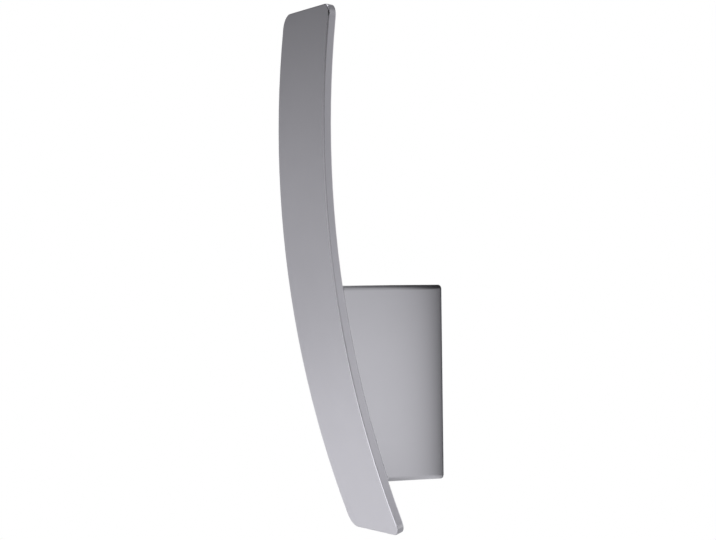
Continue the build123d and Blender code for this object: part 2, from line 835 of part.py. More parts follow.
for name, x, width, level, direction, lead_xs, radius in (
    (
        "driver_input_terminal",
        input_terminal_x,
        input_terminal_width,
        driver_bottom,
        1,
        (live_x, neutral_x),
        mains_lead_radius,
    ),
    (
        "driver_output_terminal",
        0.0,
        output_terminal_width,
        driver_top,
        -1,
        led_lead_x,
        led_lead_radius,
    ),
):
    with BuildPart() as terminal:
        with BuildSketch(Plane.XY.offset(level)):
            with Locations((x, driver_lead_y)):
                Rectangle(width, driver_terminal_depth)
        extrude(amount=direction * driver_terminal_height)
        with BuildSketch(Plane.XY.offset(level)):
            with Locations(*[(lead_x, driver_lead_y) for lead_x in lead_xs]):
                Circle(radius + thread_clearance)
        extrude(amount=direction * (lead_grip + drop_in_clearance), mode=Mode.SUBTRACT)
    save(terminal.part, name)

with BuildPart() as driver_screws:
    for side in (-1, 1):
        place = frontward(side * driver_screw_x, driver_mid, tray_front - driver_ear_thickness)
        pan_screw(
            Plane(origin=place.origin, x_dir=place.x_dir, z_dir=-place.z_dir),
            small_head_radius,
            small_head_height,
            small_screw_radius,
            driver_ear_thickness + tray_thickness + driver_screw_tail,
        )
save(driver_screws.part, "driver_screws")

# Terminal block on the wall side of the tray
with BuildPart() as terminal_block:
    with BuildSketch(Plane.XZ.offset(-terminal_rear)):
        with Locations((0, terminal_mid)):
            Rectangle(terminal_width, terminal_height)
    extrude(amount=terminal_depth)
    fillet(terminal_block.faces().sort_by(Axis.Y)[-1].edges(), terminal_edge_radius)
    with BuildSketch(Plane.XZ.offset(-terminal_rear)):
        with Locations((0, terminal_mid)):
            with GridLocations(terminal_pitch, 0, terminal_poles - 1, 1):
                Rectangle(terminal_groove_width, terminal_height)
    extrude(amount=terminal_groove_depth, mode=Mode.SUBTRACT)
    with BuildSketch(Plane.XY.offset(terminal_bottom)):
        with Locations(*[(x, wire_y) for x in pole_x]):
            Circle(clamp_radius + thread_clearance)
    extrude(amount=terminal_height, mode=Mode.SUBTRACT)
    with BuildSketch(Plane.XZ.offset(-terminal_rear)):
        with Locations(*clamp_screw_points):
            Circle(clamp_screw_head_radius + hole_clearance)
    extrude(amount=terminal_rear - wire_y, mode=Mode.SUBTRACT)
    with BuildSketch(Plane.XZ.offset(-terminal_rear)):
        with Locations(*block_screw_points):
            Circle(block_screw_radius + hole_clearance)
    extrude(amount=terminal_depth, mode=Mode.SUBTRACT)
    with BuildSketch(Plane.XZ.offset(-terminal_rear)):
        with Locations(*block_screw_points):
            Circle(block_screw_head_radius + hole_clearance)
    extrude(amount=block_screw_sink + block_screw_head_height, mode=Mode.SUBTRACT)
save(terminal_block.part, "terminal_block")

with BuildPart() as terminal_clamps:
    with BuildSketch(Plane.XY.offset(terminal_mid - clamp_length / 2)):
        for x in pole_x:
            with Locations((x, wire_y)):
                Circle(clamp_radius)
                Circle(mains_lead_radius + thread_clearance, mode=Mode.SUBTRACT)
    extrude(amount=clamp_length)
    with BuildSketch(Plane.XZ.offset(-terminal_rear)):
        with Locations(*clamp_screw_points):
            Circle(clamp_screw_radius + thread_clearance)
    extrude(amount=terminal_rear - wire_y, mode=Mode.SUBTRACT)
save(terminal_clamps.part, "terminal_clamps")

clamp_screw_seat = terminal_rear - clamp_screw_sink - clamp_screw_head_height
clamp_screw_tip = wire_y + mains_lead_radius + 2 * thread_clearance
with BuildPart() as terminal_screws:
    for x, z in clamp_screw_points:
        pan_screw(
            frontward(x, z, clamp_screw_seat),
            clamp_screw_head_radius,
            clamp_screw_head_height,
            clamp_screw_radius,
            clamp_screw_seat - clamp_screw_tip,
        )
save(terminal_screws.part, "terminal_screws")

block_screw_seat = terminal_rear - block_screw_sink - block_screw_head_height
with BuildPart() as terminal_fixing_screws:
    for x, z in block_screw_points:
        pan_screw(
            frontward(x, z, block_screw_seat),
            block_screw_head_radius,
            block_screw_head_height,
            block_screw_radius,
            block_screw_seat - tray_front + block_screw_tail,
        )
save(terminal_fixing_screws.part, "terminal_fixing_screws")

# Mains leads: down from the terminal block, through the tray and up into the driver
for name, x in (("live_lead", live_x), ("neutral_lead", neutral_x)):
    with BuildPart() as mains_lead:
        lead(
            [
                (x, wire_y, terminal_bottom + lead_grip),
                (x, wire_y, mains_loop_z),
                (x, driver_lead_y, mains_loop_z),
                (x, driver_lead_y, driver_bottom + lead_grip),
            ],
            [mains_bend_upper, mains_bend_lower],
            mains_lead_radius,
        )
    save(mains_lead.part, name)

# Leads to the LED board: up from the driver, back through the tray's notch and over the heat sink
led_rise_y = sink_rear + led_lead_offset
led_turn_z = tray_top - led_lead_drop
connector_rear = connector_y + connector_depth / 2
for name, x in zip(("led_lead_positive", "led_lead_negative"), led_lead_x):
    with BuildPart() as led_lead:
        lead(
            [
                (x, driver_lead_y, driver_top - lead_grip),
                (x, driver_lead_y, led_turn_z),
                (x, led_rise_y, led_turn_z),
                (x, led_rise_y, led_lead_z),
                (x, connector_rear - connector_depth / 2, led_lead_z),
            ],
            [led_bend_wide, led_bend_wide, led_bend_tight],
            led_lead_radius,
        )
    save(led_lead.part, name)

# Earth lead, crimped in a ring that is screwed to the tray
barrel_y = tray_rear + earth_barrel_radius + thread_clearance
with BuildPart() as earth_lead:
    lead(
        [
            (earth_pole_x, wire_y, terminal_bottom + lead_grip),
            (earth_pole_x, wire_y, mains_loop_z),
            (earth_turn_x, barrel_y, mains_loop_z),
            (earth_barrel_start + earth_barrel_length, barrel_y, mains_loop_z),
        ],
        [earth_bend_first, earth_bend_second],
        mains_lead_radius,
    )
save(earth_lead.part, "earth_lead")

with BuildPart() as earth_ring:
    with BuildSketch(frontward(earth_x, mains_loop_z, tray_rear + earth_ring_thickness)):
        Circle(earth_ring_radius)
    extrude(amount=earth_ring_thickness)
    neck_start = earth_barrel_start + earth_barrel_length / 2
    with BuildSketch(Plane.XZ.offset(-(tray_rear + earth_ring_thickness))):
        with Locations(((neck_start + earth_x) / 2, mains_loop_z)):
            Rectangle(earth_x - neck_start, 2 * earth_barrel_radius)
    extrude(amount=earth_ring_thickness)
    with BuildSketch(Plane.YZ.offset(earth_barrel_start)):
        with Locations((barrel_y, mains_loop_z)):
            Circle(earth_barrel_radius)
    extrude(amount=earth_barrel_length)
    with BuildSketch(Plane.YZ.offset(earth_barrel_start)):
        with Locations((barrel_y, mains_loop_z)):
            Circle(mains_lead_radius + thread_clearance)
    extrude(amount=earth_barrel_length, mode=Mode.SUBTRACT)
    with BuildSketch(frontward(earth_x, mains_loop_z, tray_rear + earth_ring_thickness)):
        Circle(small_screw_radius + hole_clearance)
    extrude(amount=earth_ring_thickness, mode=Mode.SUBTRACT)
save(earth_ring.part, "earth_ring")

earth_stack = earth_ring_thickness + earth_washer_thickness
with BuildPart() as earth_washer:
    with BuildSketch(frontward(earth_x, mains_loop_z, tray_rear + earth_stack)):
        Circle(earth_ring_radius - hole_clearance)
        Circle(small_screw_radius + hole_clearance, mode=Mode.SUBTRACT)
    extrude(amount=earth_washer_thickness)
save(earth_washer.part, "earth_washer")

with BuildPart() as earth_screw:
    pan_screw(
        frontward(earth_x, mains_loop_z, tray_rear + earth_stack),
        small_head_radius,
        small_head_height,
        small_screw_radius,
        earth_screw_length,
    )
save(earth_screw.part, "earth_screw")

# Wall bracket: steel sheet bent to a shallow C, with a pressed dish round the cable hole
with BuildPart() as wall_bracket:
    with BuildSketch(Plane.YZ):
        with BuildLine():
            Polyline(
                (0, bracket_bottom),
                (0, bracket_top),
                (-bracket_flange, bracket_top),
                (-bracket_flange, bracket_top - bracket_thickness),
                (-bracket_thickness, bracket_top - bracket_thickness),
                (-bracket_thickness, bracket_bottom + bracket_thickness),
                (-bracket_flange, bracket_bottom + bracket_thickness),
                (-bracket_flange, bracket_bottom),
                close=True,
            )
        make_face()
    extrude(amount=bracket_half, both=True)
    inner_bends = wall_bracket.edges().filter_by(Axis.X).group_by(Axis.Y)[1]
    fillet(inner_bends, bracket_bend_radius)
    outer_bends = wall_bracket.edges().filter_by(Axis.X).group_by(Axis.Y)[-1]
    fillet(outer_bends, bracket_bend_radius + bracket_thickness)
    flange_corners = wall_bracket.edges().filter_by(Axis.Z).group_by(Axis.Y)[0]
    fillet(flange_corners, bracket_corner_radius)
    with BuildSketch(frontward(0, 0, -bracket_thickness)):
        Circle(emboss_radius)
    extrude(amount=emboss_height)
    with BuildSketch(frontward(0, 0, 0)):
        Circle(emboss_radius - bracket_thickness)
    extrude(amount=emboss_height, mode=Mode.SUBTRACT)
    with BuildSketch(frontward(0, 0, 0)):
        Circle(cable_hole_radius)
    extrude(amount=emboss_height + bracket_thickness, mode=Mode.SUBTRACT)
    with BuildSketch(frontward(0, 0, 0)):
        with Locations(*[(0, z) for z in fixing_heights]):
            SlotOverall(fixing_slot_length, fixing_slot_width, rotation=90)
    extrude(amount=bracket_thickness, mode=Mode.SUBTRACT)
    with BuildSketch(Plane.XY.offset(bracket_bottom)):
        with Locations(*lock_points):
            Circle(lock_screw_radius + hole_clearance)
    extrude(amount=bracket_thickness, mode=Mode.SUBTRACT)
save(wall_bracket.part, "wall_bracket")

nut_seat = bracket_bottom + bracket_thickness
with BuildPart() as clinch_nuts:
    with BuildSketch(Plane.XY.offset(nut_seat)):
        for point in lock_points:
            with Locations(point):
                Circle(clinch_nut_radius)
                Circle(lock_screw_radius + thread_clearance, mode=Mode.SUBTRACT)
    extrude(amount=clinch_nut_height)
save(clinch_nuts.part, "clinch_nuts")

with BuildPart() as locking_screws:
    for x, y in lock_points:
        pan_screw(
            upward(x, y, lock_head_bottom + lock_head_height),
            lock_head_radius,
            lock_head_height,
            lock_screw_radius,
            nut_seat + clinch_nut_height + lock_screw_tail - lock_head_bottom - lock_head_height,
        )
save(locking_screws.part, "locking_screws")

# Rubber grommet that lines the cable hole
dish_rear = -emboss_height
dish_front = dish_rear - bracket_thickness
with BuildPart() as cable_grommet:
    with BuildSketch(frontward(0, 0, dish_rear + grommet_lip_thickness)):
        Circle(cable_hole_radius - thread_clearance)
    extrude(amount=bracket_thickness + 2 * grommet_lip_thickness)
    for y in (dish_rear + grommet_lip_thickness, dish_front):
        with BuildSketch(frontward(0, 0, y)):
            Circle(cable_hole_radius + grommet_lip)
        extrude(amount=grommet_lip_thickness)
    with BuildSketch(frontward(0, 0, dish_rear + grommet_lip_thickness)):
        Circle(cable_bore_radius)
    extrude(amount=bracket_thickness + 2 * grommet_lip_thickness, mode=Mode.SUBTRACT)
save(cable_grommet.part, "cable_grommet")
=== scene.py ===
# %% [markdown]
# # A bowed LED wall light
# The light is a tall metal plate, bowed like a drawn strip, in front of a small cast housing.
# The solids come from CAD at their real size. This lesson gives them their finishes, adds the
# small shapes that are only worth making as meshes, and lights and frames the object.

# %% Load the solids
import math

import bmesh
import bpy
import numpy as np
from mathutils import Matrix, Vector


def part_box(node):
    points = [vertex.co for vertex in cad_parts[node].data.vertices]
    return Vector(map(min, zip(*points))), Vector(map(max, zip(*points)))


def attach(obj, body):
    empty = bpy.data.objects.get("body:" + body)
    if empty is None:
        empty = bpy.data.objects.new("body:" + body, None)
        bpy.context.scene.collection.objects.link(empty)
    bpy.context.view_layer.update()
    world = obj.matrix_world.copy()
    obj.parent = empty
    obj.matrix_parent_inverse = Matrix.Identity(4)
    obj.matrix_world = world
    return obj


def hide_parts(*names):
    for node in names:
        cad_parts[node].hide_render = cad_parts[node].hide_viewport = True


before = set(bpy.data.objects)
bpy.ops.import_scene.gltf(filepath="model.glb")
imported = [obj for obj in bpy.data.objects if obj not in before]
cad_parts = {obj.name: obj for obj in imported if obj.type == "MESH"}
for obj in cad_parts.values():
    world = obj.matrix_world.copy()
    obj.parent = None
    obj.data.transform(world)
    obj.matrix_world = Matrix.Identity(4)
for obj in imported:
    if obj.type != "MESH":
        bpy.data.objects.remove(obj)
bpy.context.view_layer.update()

# %% [markdown]
# ## The camera
# A product shot is taken from far away with a long lens, so that upright edges stay upright.
# The camera could be aimed by hand. Here it is placed from an azimuth, a height and a distance,
# with a small roll, so that the view can be read and changed.

# %% Camera
view_azimuth = math.radians(65.0)
view_elevation = math.radians(-0.29)
view_roll = math.radians(0.71)
view_distance = 1.602
view_target = Vector((0.0, 0.0, 0.0804))
view_shift_right = -0.04394
view_shift_up = 0.0011
camera_lens = 109.1
camera_sensor = 36.0


def place_camera():
    level = math.cos(view_elevation)
    away = Vector((math.sin(view_azimuth), -math.cos(view_azimuth), 0.0))
    back = away * level + Vector((0.0, 0.0, math.sin(view_elevation)))
    right = Vector((math.cos(view_azimuth), math.sin(view_azimuth), 0.0))
    up = back.cross(right)
    rolled_right = right * math.cos(view_roll) - up * math.sin(view_roll)
    rolled_up = right * math.sin(view_roll) + up * math.cos(view_roll)
    turn = Matrix((rolled_right, rolled_up, back)).transposed().to_4x4()
    data = bpy.data.cameras.new("photo_camera")
    data.lens = camera_lens
    data.sensor_width = camera_sensor
    camera = bpy.data.objects.new("photo_camera", data)
    shift = right * view_shift_right + up * view_shift_up
    camera.matrix_world = Matrix.Translation(view_target + back * view_distance + shift) @ turn
    bpy.context.scene.collection.objects.link(camera)
    bpy.context.scene.camera = camera
    return camera


camera = place_camera()
print("camera at", [round(value, 3) for value in camera.matrix_world.translation])

# %% [markdown]
# ## Shader maths
# A finish is a small sum: a colour here, a little more gloss there. A list of nodes and links hides
# that sum, so this class wraps one socket and lets it be used in an expression. Its operators
# add Math nodes, and its node method adds any other node. A field without a socket only knows
# its tree, and starts a chain.


# %% A socket that can be used in expressions
class Field:
    def __init__(self, tree, socket=None):
        self.tree = tree
        self.socket = socket

    def node(self, kind, settings, inputs, output=0):
        made = self.tree.nodes.new(kind)
        for name, value in settings.items():
            setattr(made, name, value)
        for name, value in inputs.items():
            if isinstance(value, Field):
                self.tree.links.new(value.socket, made.inputs[name])
            else:
                made.inputs[name].default_value = value
        return type(self)(self.tree, made.outputs[output])

    def output(self, name):
        return type(self)(self.tree, self.socket.node.outputs[name])

    def feed(self, target, name):
        self.tree.links.new(self.socket, target.inputs[name])

    def maths(self, operation, other=0.0):
        return self.node("ShaderNodeMath", {"operation": operation}, {0: self, 1: other})

    def __add__(self, other):
        return self.maths("ADD", other)

    __radd__ = __add__

    def __sub__(self, other):
        return self.maths("SUBTRACT", other)

    def __rsub__(self, other):
        return self.node("ShaderNodeMath", {"operation": "SUBTRACT"}, {0: other, 1: self})

    def __mul__(self, other):
        return self.maths("MULTIPLY", other)

    __rmul__ = __mul__

    def __truediv__(self, other):
        return self.maths("DIVIDE", other)

    def __lt__(self, other):
        return self.maths("LESS_THAN", other)

    def __abs__(self):
        return self.maths("ABSOLUTE")


print("operators ready on", Field.__name__)

# %% [markdown]
# The finishes below use the same few nodes again and again. A class that builds on the first one
# gives each of them a short name, so that a finish reads as a chain: noise, blended between two
# colours, fed to the shader.


# %% Nodes with short names
class Pattern(Field):
    def axis(self, name):
        return self.node("ShaderNodeSeparateXYZ", {}, {"Vector": self}, name)

    def ramp(self, low, high, first, last):
        soft = {"interpolation_type": "SMOOTHSTEP"}
        limits = {"From Min": low, "From Max": high, "To Min": first, "To Max": last}
        return self.node("ShaderNodeMapRange", soft, {"Value": self, **limits})

    def between(self, low, high):
        return self * (high - low) + low

    def stretched(self, scale):
        return self.node("ShaderNodeMapping", {}, {"Vector": self, "Scale": scale})

    def noise(self, scale, detail=2.0):
        sizes = {"Scale": scale, "Detail": detail}
        return self.node("ShaderNodeTexNoise", {}, {"Vector": self, **sizes})

    def blend(self, first, second):
        ends = [end if isinstance(end, Field) else (*end, 1.0) for end in (first, second)]
        sockets = {0: self, 6: ends[0], 7: ends[1]}
        return self.node("ShaderNodeMix", {"data_type": "RGBA"}, sockets, 2)

    def bump(self, depth, strength=1.0):
        sizes = {"Distance": depth, "Strength": strength}
        return self.node("ShaderNodeBump", {}, {"Height": self, **sizes})

    def relief(self, scale, depth, strength):
        return self.noise(scale).bump(depth, strength)

    def camera_ray(self):
        return self.node("ShaderNodeLightPath", {}, {}, "Is Camera Ray")


print("patterns ready on", Pattern.__name__)

# %% [markdown]
# ## The room
# The object is photographed on white, but satin metal shows what it mirrors, so the room sets
# the tones of the plate. A picture of a studio could be wrapped round the scene. A gradient by
# direction is enough and easy to tune: grey at the horizon, dark above it, dimmer on the right,
# and one soft light high up on the left. Only what the camera sees directly is plain white.

# %% World
horizon_light = 0.635
upper_light = 0.05
horizon_band = (-0.1, 0.43)
side_facing = (0.94, -0.34)
side_band = (0.75, 0.97)
side_dim = 0.78
overhead_light = 5.0
overhead_band = (0.7, 0.95)
overhead_edge = (-0.45, -0.15)
white = (1.0, 1.0, 1.0, 1.0)


def light_world():
    world = bpy.data.worlds.new("studio")
    bpy.context.scene.world = world
    world.use_nodes = True
    tree = world.node_tree
    background = tree.nodes["Background"]
    direction = Pattern(tree).node("ShaderNodeTexCoord", {}, {}, "Generated")
    across = direction.axis("X")
    height = direction.axis("Z")
    side = across * side_facing[0] + direction.axis("Y") * side_facing[1]
    around = height.ramp(*horizon_band, horizon_light, upper_light)
    around = around * side.ramp(*side_band, 1.0, side_dim)
    overhead = height.ramp(*overhead_band, 0.0, overhead_light)
    overhead = overhead * across.ramp(*overhead_edge, 1.0, 0.0)
    seen = direction.camera_ray()
    strength = seen + (1.0 - seen) * (around + overhead)
    strength.feed(background, "Strength")
    background.inputs["Color"].default_value = white
    return world


world = light_world()
bpy.context.scene.view_settings.view_transform = "Standard"
print("world", world.name)

# %% [markdown]
# ## The floor
# The floor is pale and lies well below, because the real thing hangs on a wall. A lamp could light
# it, but the metal would mirror the lamp too, so the floor glows by itself: evenly, dimmer to the
# right and behind, with one bright patch in front that the plate's rounded edge picks up. The
# camera sees it as one plain tone.

# %% Floor
floor_drop = 0.4
floor_radius = 2.0
floor_sides = 96
floor_tint = (0.8, 0.8, 0.8, 1.0)
floor_dull = 0.9
floor_seen = 0.8
floor_glow = 0.715
patch_glow = 1.12
patch_facing = (0.42, -0.9)
patch_near = (0.25, 0.5)
patch_far = (0.65, 0.85)
patch_left = (-0.6, -0.25)
right_band = (0.25, 0.7)
right_dim = 0.15
back_band = (-0.1, 0.3)
back_glow = 0.35


def start_material(name):
    material = bpy.data.materials.new(name)
    material.use_nodes = True
    tree = material.node_tree
    place = Pattern(tree).node("ShaderNodeTexCoord", {}, {}, "Object")
    return material, tree.nodes["Principled BSDF"], place


def add_stage(name, work, material):
    mesh = bpy.data.meshes.new(name)
    work.to_mesh(mesh)
    work.free()
    mesh.materials.append(material)
    made = bpy.data.objects.new(name, mesh)
    bpy.context.scene.collection.objects.link(made)
    return made


def floor_light(place):
    across = place.axis("X")
    depth = place.axis("Y")
    front = across * patch_facing[0] + depth * patch_facing[1]
    patch = front.ramp(*patch_near, 0.0, 1.0) * front.ramp(*patch_far, 1.0, 0.0)
    patch = patch * across.ramp(*patch_left, 0.0, 1.0)
    side = across * side_facing[0] + depth * side_facing[1]
    glow = (patch * patch_glow + floor_glow) * side.ramp(*right_band, 1.0, right_dim)
    glow = glow + depth.ramp(*back_band, 0.0, 1.0) * (back_glow - glow)
    return glow + place.camera_ray() * (floor_seen - glow)


def lay_floor():
    work = bmesh.new()
    bmesh.ops.create_circle(work, cap_ends=True, segments=floor_sides, radius=floor_radius)
    bmesh.ops.translate(work, verts=work.verts, vec=(0.0, 0.0, -floor_drop))
    material, shader, place = start_material("pale_floor")
    shader.inputs["Base Color"].default_value = floor_tint
    shader.inputs["Roughness"].default_value = floor_dull
    shader.inputs["Emission Strength"].default_value = 1.0
    floor_light(place).feed(shader, "Emission Color")
    return add_stage("floor", work, material)


floor = lay_floor()
print(floor.name, "at", -floor_drop)

# %% [markdown]
# ## A card behind the light
# On a wall, the sides of the housing mirror the wall, which is dark close to the housing and in
# the gap between wall and plate above it, where little light gets in. A real wall would hide the
# back of the light in other views. A card that only mirrored rays meet gives the same soft dark
# edges on the metal and nothing else. It has a window where the housing stands, and above the
# housing it is darkest for rays that rake along it, because those come out of the gap.

# %% Card
card_gap = 0.002
card_reach = 0.7
card_level = 0.53
card_peak = 0.41
card_peak_height = -0.04
card_peak_spread = 0.13
card_fade = 0.031
card_low_fade = 4.0
low_band = (-0.16, -0.06)
low_share = 0.4
under_glow = 0.2
under_width = (0.08, 0.15)
under_start = -0.14
gap_width = (0.05, 0.12)
gap_step = 0.005
gap_slant = (0.32, 0.42)
gap_rise = (0.01, 0.2)
gap_light = 0.4


def near_housing(across, height, low, high):
    beside = (across - high.x).maths("MAXIMUM")
    beyond = (height - high.z).maths("MAXIMUM", (low.z - height) * card_low_fade).maths("MAXIMUM")
    away = (beside * beside + beyond * beyond).maths("SQRT")
    return (away * (-1.0 / card_fade)).maths("EXPONENT")


def behind_plate(across, height, top):
    gap = across.ramp(*gap_width, 1.0, 0.0) * height.ramp(top, top + gap_step, 0.0, 1.0)
    slant = height.node("ShaderNodeLayerWeight", {}, {}, "Facing")
    lit = height.ramp(top + gap_rise[0], top + gap_rise[1], 0.0, gap_light)
    return gap * slant.ramp(*gap_slant, 0.0, 1.0) * (1.0 - lit)


def card_light(across, height, low, high):
    rise = (height - card_peak_height) / card_peak_spread
    level = card_level + card_peak * (rise * rise * -1.0).maths("EXPONENT")
    level = level * height.ramp(*low_band, low_share, 1.0)
    under = across.ramp(*under_width, under_glow, 0.0) * height.ramp(under_start, low.z, 1.0, 0.0)
    shade = near_housing(across, height, low, high)
    return (level + under) * (1.0 - shade) * (1.0 - behind_plate(across, height, high.z))


def hang_card():
    low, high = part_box("housing")
    work = bmesh.new()
    bmesh.ops.create_grid(work, x_segments=1, y_segments=1, size=card_reach)
    bmesh.ops.rotate(work, verts=work.verts, matrix=Matrix.Rotation(math.pi / 2, 3, "X"))
    bmesh.ops.translate(work, verts=work.verts, vec=(0.0, card_gap, 0.0))
    material, _, place = start_material("wall_card")
    across = abs(place.axis("X"))
    height = place.axis("Z")
    glow = place.node("ShaderNodeEmission", {}, {"Color": card_light(across, height, low, high)})
    clear = place.node("ShaderNodeBsdfTransparent", {}, {})
    window = (across < high.x) * (abs(height) < high.z)
    mixed = place.node("ShaderNodeMixShader", {}, {0: window, 1: glow, 2: clear})
    mixed.feed(material.node_tree.nodes["Material Output"], "Surface")
    card = add_stage("wall_card", work, material)
    card.visible_camera = False
    card.visible_diffuse = False
    card.visible_shadow = False
    card.visible_transmission = False
    return card


card = hang_card()
print(card.name, "at", card_gap)

# %% [markdown]
# ## Satin silver
# The plate is anodised aluminium strip and the housing a casting with a coat of the same tone.
# Both have a very fine grain that spreads reflections, and faint clouds in the coat. Along the seam
# where they meet, the coat is painted lighter as a painted highlight on the dark crevice, and the
# plate's front edges are polished a little.
# Photos of metal could be mapped on, but noise and a few masks look right at any scale.

# %% Satin silver
plate_colours = ((0.535, 0.528, 0.573), (0.56, 0.553, 0.6))
coat_colours = ((0.563, 0.558, 0.599), (0.59, 0.585, 0.628))
# Lighter colour for the painted highlight along the seam between plate and housing.
seam_highlight_colour = (0.8, 0.795, 0.84)
plate_dull = (0.39, 0.45)
coat_dull = (0.3, 0.36)
satin_clouds = 14.0
satin_patches = 60.0
satin_grain = (2600.0, 0.00001, 0.5)
# Which faces and how wide a band near the sides get the painted seam highlight.
seam_highlight_turn = (0.03, 0.2)
seam_highlight_band = (0.0015, 0.0007)
edge_band = (0.002, 0.001)
edge_fade = 0.0002
edge_polish = 0.2
towards_wall = 1.0
towards_room = -1.0


# Painted highlight: lightens the coat on the seam faces, which would otherwise mirror the dark crevice.
def painted_seam_highlight(across, side, facing):
    normal = across.node("ShaderNodeNewGeometry", {}, {}, "Normal")
    edge = across.ramp(side - seam_highlight_band[0], side - seam_highlight_band[1], 0.0, 1.0)
    return edge * (normal.axis("Y") * facing).ramp(*seam_highlight_turn, 0.0, 1.0)


def polished_edge(across, side):
    edge = across.ramp(side - edge_band[0], side - edge_band[1], 0.0, 1.0)
    return edge * across.ramp(side - edge_fade, side, 1.0, 0.0)


def satin(name, node, colours, dull, seam_facing, polish):
    material, shader, place = start_material(name)
    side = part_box(node)[1].x
    across = abs(place.axis("X"))
    coat = place.noise(satin_clouds).blend(*colours)
    # The clouded coat, with the painted seam highlight blended over it.
    painted_seam_highlight(across, side, seam_facing).blend(coat, seam_highlight_colour).feed(shader, "Base Color")
    shader.inputs["Metallic"].default_value = 1.0
    roughness = place.noise(satin_patches).between(*dull)
    if polish:
        roughness = roughness - polished_edge(across, side) * polish
    roughness.feed(shader, "Roughness")
    place.relief(*satin_grain).feed(shader, "Normal")
    return material


def dress(material, *nodes):
    for name in nodes:
        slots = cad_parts[name].data.materials
        slots.clear()
        slots.append(material)
    print(material.name, "on", ", ".join(nodes))


plate_satin = satin("plate_satin", "front_plate", plate_colours, plate_dull, towards_wall, edge_polish)
housing_satin = satin("housing_satin", "housing", coat_colours, coat_dull, towards_room, 0.0)
dress(plate_satin, "front_plate")
dress(housing_satin, "housing")

# %% [markdown]
# ## Lens and seals
# The lens is frosted acrylic: white where light scatters in it, and a little clear. The gasket
# and the grommets are black rubber with a dull bloom. Both need a grain fine enough to see only
# close up, so noise on the object's own coordinates is all that they take.

# %% Lens and rubber
lens_colours = ((0.86, 0.85, 0.8), (0.92, 0.91, 0.87))
lens_clouds = 30.0
lens_frost = 400.0
lens_dull = (0.45, 0.59)
lens_pits = (1500.0, 0.00004, 0.6)
lens_clear = 0.2
acrylic_index = 1.49
rubber_colours = ((0.018, 0.018, 0.018), (0.05, 0.05, 0.048))
bloom_grain = (250.0, 4.0)
bloom_band = (0.45, 0.75)
rubber_dull = (0.6, 0.75)
rubber_pits = (1200.0, 0.00005, 0.5)


def frosted_lens():
    material, shader, place = start_material("frosted_lens")
    place.noise(lens_clouds).blend(*lens_colours).feed(shader, "Base Color")
    place.noise(lens_frost).between(*lens_dull).feed(shader, "Roughness")
    shader.inputs["Transmission Weight"].default_value = lens_clear
    shader.inputs["IOR"].default_value = acrylic_index
    place.relief(*lens_pits).feed(shader, "Normal")
    return material


def black_rubber():
    material, shader, place = start_material("black_rubber")
    bloom = place.noise(*bloom_grain).ramp(*bloom_band, 0.0, 1.0)
    bloom.blend(*rubber_colours).feed(shader, "Base Color")
    bloom.between(*rubber_dull).feed(shader, "Roughness")
    place.relief(*rubber_pits).feed(shader, "Normal")
    return material


dress(frosted_lens(), "lens")
dress(black_rubber(), "lens_gasket", "lead_grommets", "cable_grommet")

# %% [markdown]
# ## The light engine
# Under the lens sit a glossy white reflector and a board with a white mask over broad copper
# areas. The reflector's faint sink marks are a slow bump. The copper shows through as fields with
# thin gaps, which could be traced from a real layout, but a brick pattern draws them well enough.

# %% Reflector and board
reflector_colours = ((0.83, 0.83, 0.81), (0.88, 0.88, 0.86))
reflector_clouds = 25.0
reflector_patches = 90.0
reflector_dull = (0.18, 0.28)
reflector_sinks = (45.0, 0.0002, 0.3)
field_size = (0.008, 0.0048)
field_tone = 0.96
field_gap = {"Mortar Size": 0.0003, "Mortar Smooth": 0.3}
field_depth = 0.00003
mask_patches = 300.0
mask_dull = (0.38, 0.48)
white_board = {"field": (0.82, 0.82, 0.8), "gap": (0.66, 0.66, 0.62)}


def white_reflector():
    material, shader, place = start_material("white_reflector")
    place.noise(reflector_clouds).blend(*reflector_colours).feed(shader, "Base Color")
    place.noise(reflector_patches).between(*reflector_dull).feed(shader, "Roughness")
    place.relief(*reflector_sinks).feed(shader, "Normal")
    return material


def masked_board(name, field, gap):
    material, shader, place = start_material(name)
    second = [field_tone * value for value in field]
    colours = {"Color1": (*field, 1.0), "Color2": (*second, 1.0), "Mortar": (*gap, 1.0)}
    sizes = {"Scale": 1.0, "Brick Width": field_size[0], "Row Height": field_size[1]}
    copper = place.node("ShaderNodeTexBrick", {}, {"Vector": place, **colours, **sizes, **field_gap})
    copper.feed(shader, "Base Color")
    place.noise(mask_patches).between(*mask_dull).feed(shader, "Roughness")
    (1.0 - copper.output("Fac")).bump(field_depth).feed(shader, "Normal")
    return material


dress(white_reflector(), "reflector")
dress(masked_board("white_mask", **white_board), "led_board")

# %% [markdown]
# Below the board lie a soft grey pad and an extruded heat sink. The pad is reinforced with glass
# cloth that shows through, so two crossed waves weave it. The die lines of the extrusion are noise
# stretched along its length, and brass and tin further on are drawn by the same function.

# %% Pad and heat sink
pad_colours = ((0.25, 0.26, 0.29), (0.36, 0.37, 0.4))
pad_weave = {"Scale": 600.0, "Distortion": 0.4}
pad_dull = 0.85
pad_depth = (0.00006, 0.7)
line_share = 0.7
line_detail = 3.0
line_depth = (0.00004, 0.5)
drawn_clouds = 80.0
aluminium_drawing = {
    "colours": ((0.52, 0.52, 0.53), (0.68, 0.68, 0.69)),
    "stretch": (2600.0, 30.0, 2600.0),
    "dull": (0.26, 0.42),
}


def soft_pad():
    material, shader, place = start_material("thermal_pad")
    warps, wefts = [
        place.node("ShaderNodeTexWave", {"bands_direction": way}, {"Vector": place, **pad_weave})
        for way in ("X", "Y")
    ]
    cloth = warps.maths("MAXIMUM", wefts)
    cloth.blend(*pad_colours).feed(shader, "Base Color")
    shader.inputs["Roughness"].default_value = pad_dull
    cloth.bump(*pad_depth).feed(shader, "Normal")
    return material


